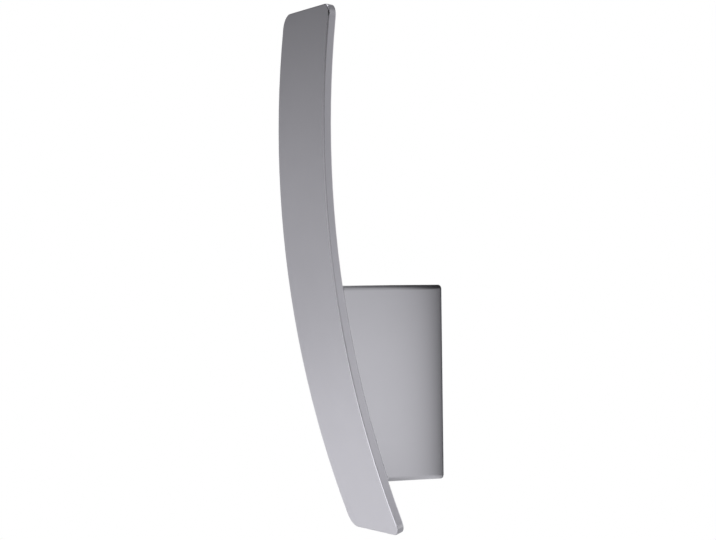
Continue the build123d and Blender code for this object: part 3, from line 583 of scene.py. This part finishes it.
def drawn_metal(name, colours, stretch, dull):
    material, shader, place = start_material(name)
    lines = place.stretched(stretch).noise(1.0, line_detail)
    tone = lines * line_share + place.noise(drawn_clouds) * (1.0 - line_share)
    tone.blend(*colours).feed(shader, "Base Color")
    shader.inputs["Metallic"].default_value = 1.0
    lines.between(*dull).feed(shader, "Roughness")
    lines.bump(*line_depth).feed(shader, "Normal")
    return material


dress(soft_pad(), "thermal_pad")
dress(drawn_metal("bare_aluminium", **aluminium_drawing), "heat_sink")

# %% [markdown]
# ## Steel
# The bracket and the gear tray are galvanised sheet, whose zinc freezes in flat crystals a few
# millimetres wide. Voronoi cells, each with its own tone and gloss, give that spangle. Screws,
# nuts and washers are plated instead: smooth, bright and faintly tinted.

# %% Galvanised sheet and plated steel
sheet_colours = ((0.44, 0.45, 0.46), (0.66, 0.67, 0.68))
spangle_scale = 170.0
spangle_drift = 260.0
spangle_reach = (0.003, 0.003, 0.003)
spangle_tone = 0.75
spangle_relief = 0.4
sheet_grain = 1800.0
sheet_dull = 0.28
sheet_dull_cells = 0.16
sheet_dull_grain = 0.08
sheet_depth = (0.00002, 0.5)
zinc_colours = ((0.54, 0.55, 0.58), (0.68, 0.66, 0.6))
zinc_film = (350.0, 3.0)
zinc_patches = 1600.0
zinc_dull = (0.22, 0.36)
zinc_grain = (2400.0, 0.00001, 0.4)


def galvanised():
    material, shader, place = start_material("galvanised_steel")
    drift = place.noise(spangle_drift).output("Color")
    moved = {0: drift, 1: spangle_reach, 2: place}
    warped = place.node("ShaderNodeVectorMath", {"operation": "MULTIPLY_ADD"}, moved)
    cells = place.node("ShaderNodeTexVoronoi", {}, {"Vector": warped, "Scale": spangle_scale}, "Color")
    tone = place.node("ShaderNodeSeparateColor", {}, {"Color": cells}, "Red")
    grain = place.noise(sheet_grain)
    mixed = tone * spangle_tone + grain * (1.0 - spangle_tone)
    mixed.blend(*sheet_colours).feed(shader, "Base Color")
    shader.inputs["Metallic"].default_value = 1.0
    (tone * sheet_dull_cells + grain * sheet_dull_grain + sheet_dull).feed(shader, "Roughness")
    height = tone * spangle_relief + grain * (1.0 - spangle_relief)
    height.bump(*sheet_depth).feed(shader, "Normal")
    return material


def zinc_plate():
    material, shader, place = start_material("zinc_plate")
    place.noise(*zinc_film).blend(*zinc_colours).feed(shader, "Base Color")
    shader.inputs["Metallic"].default_value = 1.0
    place.noise(zinc_patches).between(*zinc_dull).feed(shader, "Roughness")
    place.relief(*zinc_grain).feed(shader, "Normal")
    return material


zinc = zinc_plate()
dress(galvanised(), "wall_bracket", "gear_tray")
dress(zinc, "plate_washers", "earth_washer")

# %% [markdown]
# ## Plastics of the driver and the terminals
# Moulds for such cases are spark-eroded, which leaves a matt, even pitting on the plastic. Each
# plastic could be written out by itself, but one function serves all three, with the colours,
# the fineness of the pits and the dullness of each.

# %% Moulded plastics
white_moulding = {
    "colours": ((0.74, 0.74, 0.71), (0.82, 0.82, 0.79)),
    "pits": 1500.0,
    "dull": (0.32, 0.48),
}
case_moulding = {
    "colours": ((0.66, 0.66, 0.64), (0.75, 0.75, 0.73)),
    "pits": 1100.0,
    "dull": (0.47, 0.63),
}
ivory_moulding = {
    "colours": ((0.72, 0.68, 0.58), (0.81, 0.78, 0.69)),
    "pits": 1300.0,
    "dull": (0.34, 0.5),
}
flow_scale = 35.0
flow_share = 0.7
pit_detail = 3.0
pit_depth = (0.00006, 0.5)


def moulded(name, colours, pits, dull):
    material, shader, place = start_material(name)
    grain = place.noise(pits, pit_detail)
    tone = place.noise(flow_scale) * flow_share + grain * (1.0 - flow_share)
    tone.blend(*colours).feed(shader, "Base Color")
    grain.between(*dull).feed(shader, "Roughness")
    grain.bump(*pit_depth).feed(shader, "Normal")
    return material


white_plastic = moulded("white_plastic", **white_moulding)
dress(white_plastic, "led_connector", "driver_input_terminal", "driver_output_terminal")
dress(moulded("driver_plastic", **case_moulding), "driver_case", "driver_lid")
dress(moulded("terminal_ivory", **ivory_moulding), "terminal_block")

# %% [markdown]
# ## Inside the driver
# The board is green mask over copper, the transformer a ferrite core with a band of yellow tape,
# and the capacitors blue sleeves shrunk over aluminium cans. Tape and cans could be pieces of
# their own. They are as thin as paint, so a mask measured from each node's box places them.

# %% Driver board, transformer and capacitors
ferrite_colours = ((0.035, 0.035, 0.04), (0.09, 0.09, 0.095))
ferrite_grain = (1400.0, 4.0)
ferrite_dull = 0.7
ferrite_depth = 0.00006
tape_colours = ((0.72, 0.52, 0.08), (0.82, 0.62, 0.14))
tape_clouds = 90.0
tape_share = 0.4
tape_gloss = 0.4
sleeve_colours = ((0.02, 0.035, 0.13), (0.035, 0.06, 0.19))
sleeve_clouds = 60.0
sleeve_patches = 200.0
sleeve_dull = (0.26, 0.36)
can_colours = ((0.6, 0.6, 0.6), (0.72, 0.72, 0.72))
can_clouds = 500.0
can_rim = 0.0004
green_board = {"field": (0.02, 0.17, 0.07), "gap": (0.008, 0.09, 0.035)}


def taped_ferrite():
    material, shader, place = start_material("taped_ferrite")
    low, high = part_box("driver_transformer")
    middle = (low.z + high.z) / 2
    tape = abs(place.axis("Z") - middle) < tape_share * (high.z - middle)
    grain = place.noise(*ferrite_grain)
    film = place.noise(tape_clouds).blend(*tape_colours)
    tape.blend(grain.blend(*ferrite_colours), film).feed(shader, "Base Color")
    (ferrite_dull - tape * tape_gloss).feed(shader, "Roughness")
    (grain * (1.0 - tape) + tape).bump(ferrite_depth).feed(shader, "Normal")
    return material


def sleeved_can():
    material, shader, place = start_material("capacitor_sleeve")
    end = place.axis("Y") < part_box("driver_capacitors")[0].y + can_rim
    sleeve = place.noise(sleeve_clouds).blend(*sleeve_colours)
    end.blend(sleeve, place.noise(can_clouds).blend(*can_colours)).feed(shader, "Base Color")
    end.feed(shader, "Metallic")
    place.noise(sleeve_patches).between(*sleeve_dull).feed(shader, "Roughness")
    return material


dress(masked_board("green_mask", **green_board), "driver_board")
dress(taped_ferrite(), "driver_transformer")
dress(sleeved_can(), "driver_capacitors")

# %% [markdown]
# ## Brass, tin and insulation
# The clamps are turned brass and the earth ring is tinned copper. The leads are soft PVC with a
# slight waviness from extrusion. The waves could be modelled, but a bump is enough at their
# depth, and one function serves all the colours of lead.

# %% Clamps, ring and leads
brass_turning = {
    "colours": ((0.62, 0.44, 0.17), (0.8, 0.63, 0.32)),
    "stretch": (2400.0, 2400.0, 200.0),
    "dull": (0.22, 0.38),
}
tin_coating = {
    "colours": ((0.58, 0.57, 0.54), (0.72, 0.71, 0.68)),
    "stretch": (500.0, 500.0, 500.0),
    "dull": (0.26, 0.42),
}
lead_clouds = 160.0
lead_patches = 700.0
lead_dull = (0.34, 0.46)
lead_waves = (240.0, 0.0001, 0.4)
lead_colours = {
    "live_lead": ("brown_insulation", (0.13, 0.052, 0.02), (0.19, 0.085, 0.04)),
    "neutral_lead": ("blue_insulation", (0.012, 0.075, 0.35), (0.03, 0.12, 0.48)),
    "led_lead_positive": ("red_insulation", (0.42, 0.012, 0.012), (0.56, 0.03, 0.03)),
    "led_lead_negative": ("black_insulation", (0.014, 0.014, 0.014), (0.03, 0.03, 0.03)),
}


def extruded_surface(shader, place):
    place.noise(lead_patches).between(*lead_dull).feed(shader, "Roughness")
    place.relief(*lead_waves).feed(shader, "Normal")


def insulation(name, dark, light):
    material, shader, place = start_material(name)
    place.noise(lead_clouds).blend(dark, light).feed(shader, "Base Color")
    extruded_surface(shader, place)
    return material


dress(drawn_metal("brass", **brass_turning), "terminal_clamps")
dress(drawn_metal("tinned_copper", **tin_coating), "earth_ring")
for node, colours in lead_colours.items():
    dress(insulation(*colours), node)

# %% [markdown]
# ## New pieces
# Threads, screw recesses and LED windows are too fine for the solids, so they are modelled here
# and stand for the plain nodes. Each new mesh is finished in place: it gets its material, its
# soft and sharp edges, the body that it rides on, and the node that it replaces.

# %% Finish a piece
sharp_angle = math.radians(32.0)
same_point = 1e-6


def add_piece(name, work, materials, body, node):
    bmesh.ops.remove_doubles(work, verts=work.verts, dist=same_point)
    bmesh.ops.recalc_face_normals(work, faces=work.faces)
    mesh = bpy.data.meshes.new(name)
    work.to_mesh(mesh)
    work.free()
    mesh.shade_smooth()
    mesh.set_sharp_from_angle(angle=sharp_angle)
    for material in materials:
        mesh.materials.append(material)
    piece = bpy.data.objects.new(name, mesh)
    bpy.context.scene.collection.objects.link(piece)
    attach(piece, body)
    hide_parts(node)
    print(name, "has", len(mesh.polygons), "faces")


def join(shapes):
    joined = bmesh.new()
    for shape in shapes:
        mesh = bpy.data.meshes.new("shape")
        shape.to_mesh(mesh)
        shape.free()
        joined.from_mesh(mesh)
        bpy.data.meshes.remove(mesh)
    return joined


def closed_loop(work, points):
    verts = [work.verts.new(point) for point in points]
    edges = [work.edges.new((verts[i - 1], verts[i])) for i in range(len(verts))]
    return verts, edges


print("edges turn sharp above", round(math.degrees(sharp_angle)), "degrees")

# %% [markdown]
# One node can hold several loose solids, such as four screws. Their places could be typed in
# again, but the CAD may change, so they are read from the mesh: points that edges join belong to
# the same solid.

# %% Read the islands of a node
centre_digits = 5


def merged_copy(node):
    work = bmesh.new()
    work.from_mesh(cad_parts[node].data)
    bmesh.ops.remove_doubles(work, verts=work.verts, dist=same_point)
    return work


def islands(node):
    work = merged_copy(node)
    work.verts.index_update()
    left = set(work.verts)
    found = []
    while left:
        front = [left.pop()]
        reached = []
        while front:
            vert = front.pop()
            reached.append(vert)
            beside = {edge.other_vert(vert) for edge in vert.link_edges} & left
            left -= beside
            front.extend(beside)
        reached.sort(key=lambda vert: vert.index)
        found.append(np.array([vert.co[:] for vert in reached]))
    work.free()
    return sorted(found, key=lambda points: tuple(points.mean(axis=0).round(centre_digits)))


def island_box(points):
    return Vector(points.min(axis=0)), Vector(points.max(axis=0))


print("islands of locking_screws:", len(islands("locking_screws")))

# %% [markdown]
# ## Screws
# A screw's solid is two plain cylinders. Its axis is the odd direction out in the spread of its
# points, its head is the wide end, and every other size follows from those two. The sizes could
# be typed in from the drawing, but measured ones stay right when the drawing changes.

# %% Measure a screw
head_zone = 0.95
millimetres = 1000.0


def measure_screw(points):
    centre = points.mean(axis=0)
    spread, axes = np.linalg.eigh(np.cov((points - centre).T))
    odd = 0 if spread[1] - spread[0] > spread[2] - spread[1] else 2
    axis = axes[:, odd]
    along = (points - centre) @ axis
    away = np.linalg.norm(points - centre - np.outer(along, axis), axis=1)
    wide = away > head_zone * away.max()
    if along[wide].mean() < (along.min() + along.max()) / 2:
        axis = -axis
        along = -along
    seat = along[wide].min()
    tip = along < along.min() + same_point
    return {
        "seat": Vector(centre + axis * seat),
        "axis": Vector(axis),
        "head_radius": away.max(),
        "head_height": along.max() - seat,
        "shank_radius": away[tip].max(),
        "shank_length": seat - along.min(),
    }


locking_size = measure_screw(islands("locking_screws")[0])
print("locking screw's head:", round(2 * millimetres * locking_size["head_radius"], 2), "mm")

# %% [markdown]
# The head grows ring by ring from a recess that is bridged to the rim. The thread is a closed rib
# spun round the shank. Cutting both with booleans would work too, but rings keep the faces even.
# The outline is given in shares of the head's radius and height, so it fits every size.

# %% Build a screw
screw_sides = 28
head_top = 0.72
head_outline = ((0.88, 0.94), (0.97, 0.78), (1.0, 0.55), (1.0, 0.06), (0.97, 0.0))
recess_cross = (4, ((0.57, -0.133), (0.57, 0.133), (0.133, 0.133)))
recess_slot = (2, ((0.6708, -0.1014), (0.6708, 0.1014)))
recess_steps = ((0.96, -0.1), (0.72, -0.45))
shank_core = 0.86
tip_radius = 0.5
tip_length = 0.6
thread_sides = 20
thread_root = 0.8
thread_pitch = 0.4
thread_half = 0.42
thread_plain = 1.3


def ring_step(work, edges, scale, rise):
    made = bmesh.ops.extrude_edge_only(work, edges=edges)["geom"]
    verts = [item for item in made if isinstance(item, bmesh.types.BMVert)]
    bmesh.ops.scale(work, verts=verts, vec=(scale, scale, 1.0))
    bmesh.ops.translate(work, verts=verts, vec=(0.0, 0.0, rise))
    fresh = set(verts)
    return [item for item in made if isinstance(item, bmesh.types.BMEdge) and set(item.verts) <= fresh]


def recess_loop(work, recess, radius, height):
    turns, corners = recess
    points = []
    for turn in range(turns):
        rotation = Matrix.Rotation(turn * math.tau / turns, 3, "Z")
        points += [rotation @ Vector((x * radius, y * radius, height)) for x, y in corners]
    return closed_loop(work, points)[1]


def add_thread(work, radius, length):
    pitch = thread_pitch * radius
    root, half = thread_root * radius, thread_half * pitch
    section = ((root, 0.0, half - pitch), (radius, 0.0, -pitch), (root, 0.0, -half - pitch))
    verts, edges = closed_loop(work, section)
    turns = (length - thread_plain * radius) / pitch
    steps = max(int(turns * thread_sides), thread_sides)
    spun = bmesh.ops.spin(
        work,
        geom=verts + edges,
        axis=(0.0, 0.0, 1.0),
        dvec=(0.0, 0.0, -pitch / thread_sides),
        angle=steps * math.tau / thread_sides,
        steps=steps,
    )["geom_last"]
    last = [item for item in spun if isinstance(item, bmesh.types.BMEdge)]
    bmesh.ops.contextual_create(work, geom=edges)
    bmesh.ops.contextual_create(work, geom=last)


def screw_mesh(size, recess):
    radius, height = size["head_radius"], size["head_height"]
    shank, length = size["shank_radius"], size["shank_length"]
    work = bmesh.new()
    bmesh.ops.create_circle(work, segments=screw_sides, radius=head_top * radius)
    bmesh.ops.translate(work, verts=work.verts, vec=(0.0, 0.0, height))
    rim = list(work.edges)
    cut = recess_loop(work, recess, radius, height)
    bmesh.ops.bridge_loops(work, edges=rim + cut)
    for scale, drop in recess_steps:
        cut = ring_step(work, cut, scale, drop * height)
    bmesh.ops.contextual_create(work, geom=cut)
    outline = [(x * radius, z * height) for x, z in head_outline]
    outline += [(shank_core * shank, 0.0), (shank_core * shank, tip_length * shank - length)]
    outline += [(tip_radius * shank, -length)]
    reach, level = head_top * radius, height
    for next_reach, next_level in outline:
        rim = ring_step(work, rim, next_reach / reach, next_level - level)
        reach, level = next_reach, next_level
    bmesh.ops.contextual_create(work, geom=rim)
    add_thread(work, shank, length)
    return work


sample = screw_mesh(locking_size, recess_cross)
print("locking screw:", len(sample.faces), "faces")
sample.free()

# %% [markdown]
# Every group of screws goes through the same three steps: measure each island, build it in its
# own frame, and turn it into place. One screw could be copied everywhere, but the real ones
# differ in size. Terminal screws are slotted, and all others have a cross.

# %% Replace the screws
light_screws = (
    "plate_screws",
    "reflector_screws",
    "heat_sink_screws",
    "led_board_screws",
    "gear_tray_screws",
    "driver_screws",
    "terminal_fixing_screws",
    "earth_screw",
)


def build_screws(node, body, recess):
    shapes = []
    for points in islands(node):
        size = measure_screw(points)
        shape = screw_mesh(size, recess)
        turn = size["axis"].to_track_quat("Z", "Y").to_matrix().to_4x4()
        shape.transform(Matrix.Translation(size["seat"]) @ turn)
        shapes.append(shape)
    add_piece(f"{node}_cut", join(shapes), [zinc], body, node)


build_screws("locking_screws", "bracket_assembly", recess_cross)
for node in light_screws:
    build_screws(node, "light_assembly", recess_cross)
build_screws("terminal_screws", "light_assembly", recess_slot)

# %% [markdown]
# ## Clinch nuts
# A clinch nut is a round steel nut with a serrated collar, pressed into a punched hole. A ring
# section is spun round its axis, and every second face of the collar is drawn out to a tooth.
# A cylinder with cut teeth would look the same, but it would need a cleanup that this way avoids.

# %% Clinch nuts
nut_sides = 36
nut_chamfer = 0.1
collar_top = 0.4
collar_step = 0.5
bore_room = 1.02
outward_limit = 0.9
tooth_height = 0.00015


def nut_section(radius, height, bore):
    chamfer = nut_chamfer * height
    return (
        (bore, 0.0, 0.0),
        (radius, 0.0, 0.0),
        (radius, 0.0, collar_top * height),
        (radius - chamfer, 0.0, collar_step * height),
        (radius - chamfer, 0.0, height - chamfer),
        (radius - 2 * chamfer, 0.0, height),
        (bore + chamfer, 0.0, height),
        (bore, 0.0, height - chamfer),
    )


def draw_teeth(work, top):
    collar = []
    for face in work.faces:
        middle = face.calc_center_median()
        outward = Vector((middle.x, middle.y, 0.0)).normalized()
        if face.normal.dot(outward) > outward_limit and middle.z < top:
            collar.append((math.atan2(middle.y, middle.x), face))
    collar.sort(key=lambda pair: pair[0])
    for angle, face in collar[::2]:
        drawn = bmesh.ops.extrude_discrete_faces(work, faces=[face])["faces"][0]
        push = Vector((math.cos(angle), math.sin(angle), 0.0)) * tooth_height
        bmesh.ops.translate(work, verts=drawn.verts, vec=push)


def clinch_nut(low, high, bore):
    height = high.z - low.z
    radius = (high.x - low.x) / 2 - tooth_height
    work = bmesh.new()
    verts, edges = closed_loop(work, nut_section(radius, height, bore))
    bmesh.ops.spin(
        work,
        geom=verts + edges,
        axis=(0.0, 0.0, 1.0),
        angle=math.tau,
        steps=nut_sides,
        use_merge=True,
    )
    bmesh.ops.remove_doubles(work, verts=work.verts, dist=same_point)
    bmesh.ops.recalc_face_normals(work, faces=work.faces)
    draw_teeth(work, collar_top * height)
    bmesh.ops.translate(work, verts=work.verts, vec=((low.x + high.x) / 2, (low.y + high.y) / 2, low.z))
    return work


bore = locking_size["shank_radius"] * bore_room
nuts = join(clinch_nut(*island_box(points), bore) for points in islands("clinch_nuts"))
add_piece("clinch_nuts_toothed", nuts, [zinc], "bracket_assembly", "clinch_nuts")

# %% [markdown]
# ## LED chips
# Each chip is a small white package with a yellow window of phosphor. The package is a bevelled
# block whose top is inset and sunk, and the window is drawn up again into a low dome. A picture
# of a window would be flat, and these few faces catch the light as the real ones do.

# %% LED chips
phosphor_colours = ((0.86, 0.58, 0.08), (0.95, 0.77, 0.28))
phosphor_grain = (2500.0, 4.0)
phosphor_patches = 900.0
phosphor_dull = (0.4, 0.54)
phosphor_pits = (2500.0, 0.00003, 0.6)
chip_wall = 0.00035
chip_sink = 0.00012
chip_edge = 0.0001
chip_edge_steps = 2
dome_steps = (0.6, 0.3)


def phosphor():
    material, shader, place = start_material("led_phosphor")
    place.noise(*phosphor_grain).blend(*phosphor_colours).feed(shader, "Base Color")
    place.noise(phosphor_patches).between(*phosphor_dull).feed(shader, "Roughness")
    place.relief(*phosphor_pits).feed(shader, "Normal")
    return material


def top_face(work):
    return max(work.faces, key=lambda face: face.calc_center_median().z)


def chip_block(size):
    work = bmesh.new()
    bmesh.ops.create_cube(work, size=1.0)
    bmesh.ops.scale(work, verts=work.verts, vec=size)
    upright = [edge for edge in work.edges if abs((edge.verts[0].co - edge.verts[1].co).z) > chip_edge]
    bmesh.ops.bevel(
        work,
        geom=upright + list(top_face(work).edges),
        offset=chip_edge,
        offset_type="OFFSET",
        segments=chip_edge_steps,
        profile=0.5,
        affect="EDGES",
        material=-1,
    )
    return work


def led_chip(low, high):
    top_room = Vector((0.0, 0.0, chip_edge))
    work = chip_block(high - low - top_room)
    top = top_face(work)
    bmesh.ops.inset_region(work, faces=[top], thickness=chip_wall)
    window = bmesh.ops.extrude_discrete_faces(work, faces=[top])["faces"][0]
    window.material_index = 1
    bmesh.ops.translate(work, verts=window.verts, vec=(0.0, 0.0, -chip_sink))
    for share in dome_steps:
        bmesh.ops.inset_region(work, faces=[window], thickness=chip_wall)
        bmesh.ops.translate(work, verts=window.verts, vec=(0.0, 0.0, share * chip_sink))
        for edge in window.edges:
            for face in edge.link_faces:
                face.material_index = 1
    bmesh.ops.translate(work, verts=work.verts, vec=(low + high - top_room) / 2)
    return work


chips = join(led_chip(*island_box(points)) for points in islands("led_chips"))
chip_materials = [white_plastic, phosphor()]
add_piece("led_chips_windowed", chips, chip_materials, "light_assembly", "led_chips")

# %% [markdown]
# ## The earth lead
# An earth lead is green with a yellow band along it. The band has to follow the lead round its
# bends, which flat coordinates can't do, so a merged copy of the lead stores how far each point
# faces the wall, and the material turns that number into the two colours.

# %% Earth lead
green_colours = ((0.02, 0.2, 0.03), (0.04, 0.28, 0.05))
yellow_colours = ((0.66, 0.5, 0.02), (0.78, 0.62, 0.05))
band_edge = (0.27, 0.33)


def striped_insulation():
    material, shader, place = start_material("green_yellow_insulation")
    facing = place.node("ShaderNodeAttribute", {"attribute_name": "facing"}, {}, "Fac")
    clouds = place.noise(lead_clouds)
    green = clouds.blend(*green_colours)
    yellow = clouds.blend(*yellow_colours)
    facing.ramp(*band_edge, 0.0, 1.0).blend(green, yellow).feed(shader, "Base Color")
    extruded_surface(shader, place)
    return material


def striped_lead():
    work = merged_copy("earth_lead")
    work.normal_update()
    facing = work.verts.layers.float.new("facing")
    for vert in work.verts:
        vert[facing] = vert.normal.y
    return work


stripes = [striped_insulation()]
add_piece(
    "earth_lead_striped",
    striped_lead(),
    stripes,
    "light_assembly",
    "earth_lead",
)
